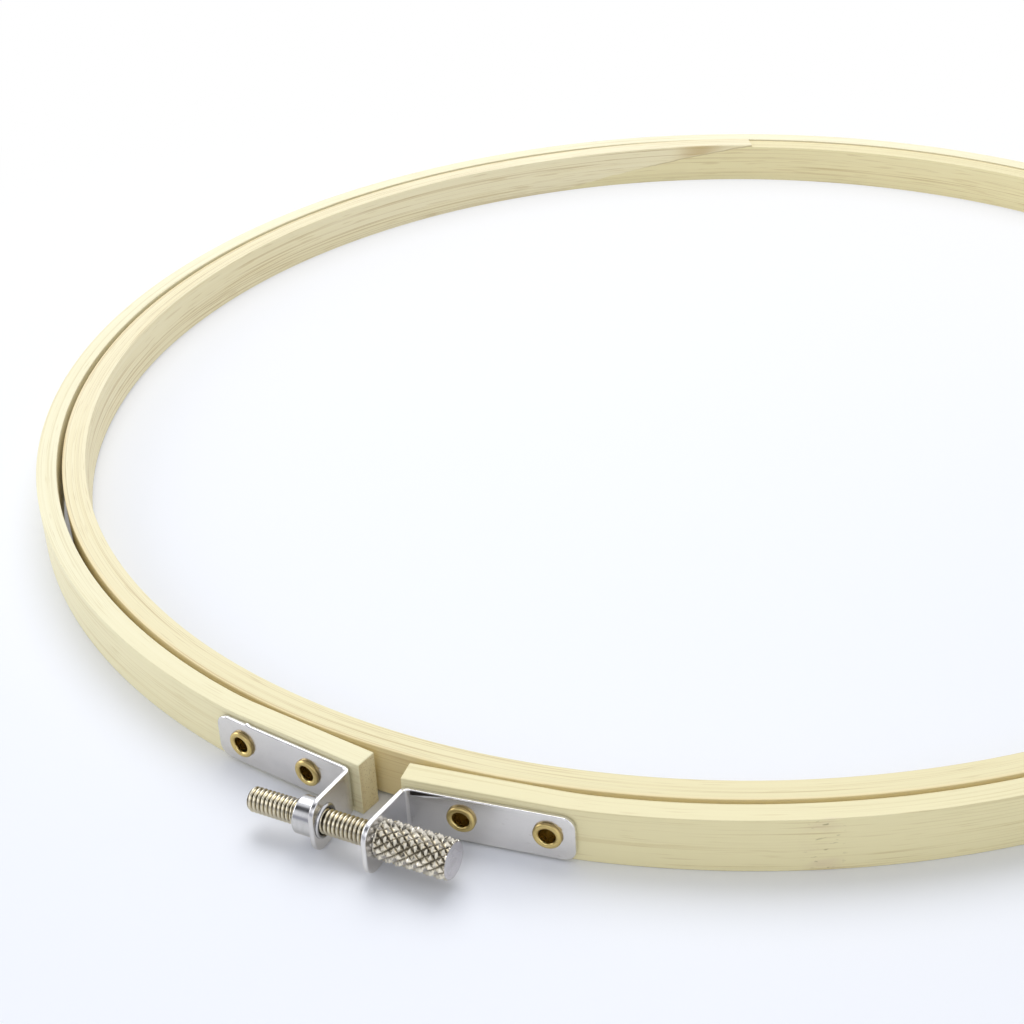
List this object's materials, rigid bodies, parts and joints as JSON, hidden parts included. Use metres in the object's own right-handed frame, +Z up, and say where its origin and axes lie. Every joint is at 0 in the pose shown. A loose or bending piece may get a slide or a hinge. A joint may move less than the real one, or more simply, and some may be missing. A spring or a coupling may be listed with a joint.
{
  "type": "embroidery hoop",
  "caption": "Round bamboo embroidery hoop: a closed inner hoop inside a split outer hoop, drawn together by a knurled thumb screw between two riveted sheet brackets.",
  "frame": {"origin": "on the axis of the inner hoop's window, at the outer hoop's mid-height; the hoop lies on a surface at z = -4.55 mm", "axes": "+Z up along the window's axis, +X along the clamp screw towards its knurled head, -Y from the window's middle out through the clamp"},
  "size_m": [0.26, 0.2725, 0.0095],
  "materials": {
    "outer_bamboo": "planed bamboo, satin, cream with fine grain along the strip",
    "inner_bamboo": "planed bamboo, satin, a little yellower than the outer hoop",
    "bracket_steel": "zinc plated sheet, smooth",
    "eyelet_brass": "bright brass",
    "collar_zinc": "bright zinc plate",
    "screw_nickel": "bright nickel plate, warm"
  },
  "bodies": {
    "outer": {"outer_hoop": "outer_bamboo", "collar_bracket": "bracket_steel", "threaded_collar": "collar_zinc", "collar_side_eyelet_near": "eyelet_brass", "collar_side_eyelet_far": "eyelet_brass"},
    "head_end": {"head_bracket": "bracket_steel", "head_side_eyelet_near": "eyelet_brass", "head_side_eyelet_far": "eyelet_brass"},
    "screw": {"thumb_screw": "screw_nickel"},
    "inner": {"inner_hoop": "inner_bamboo"}
  },
  "joints": [
    {"name": "gap_close", "type": "slide", "parent": "outer", "child": "head_end", "axis": [-1, 0, 0], "range_m": [-0.006, 0.0045], "deforming": ["outer_hoop"]},
    {"name": "screw_turn", "type": "hinge", "parent": "head_end", "child": "screw", "pos_m": [0, -0.1385, 0], "axis": [-1, 0, 0], "range_deg": [-3086, 2315]},
    {"name": "inner_lift", "type": "slide", "parent": "outer", "child": "inner", "axis": [0, 0, 1], "range_m": [0, 0.03]}
  ],
  "couplings": [
    {"joint": "screw_turn", "follows": "gap_close", "rad_per_m": 8976}
  ]
}
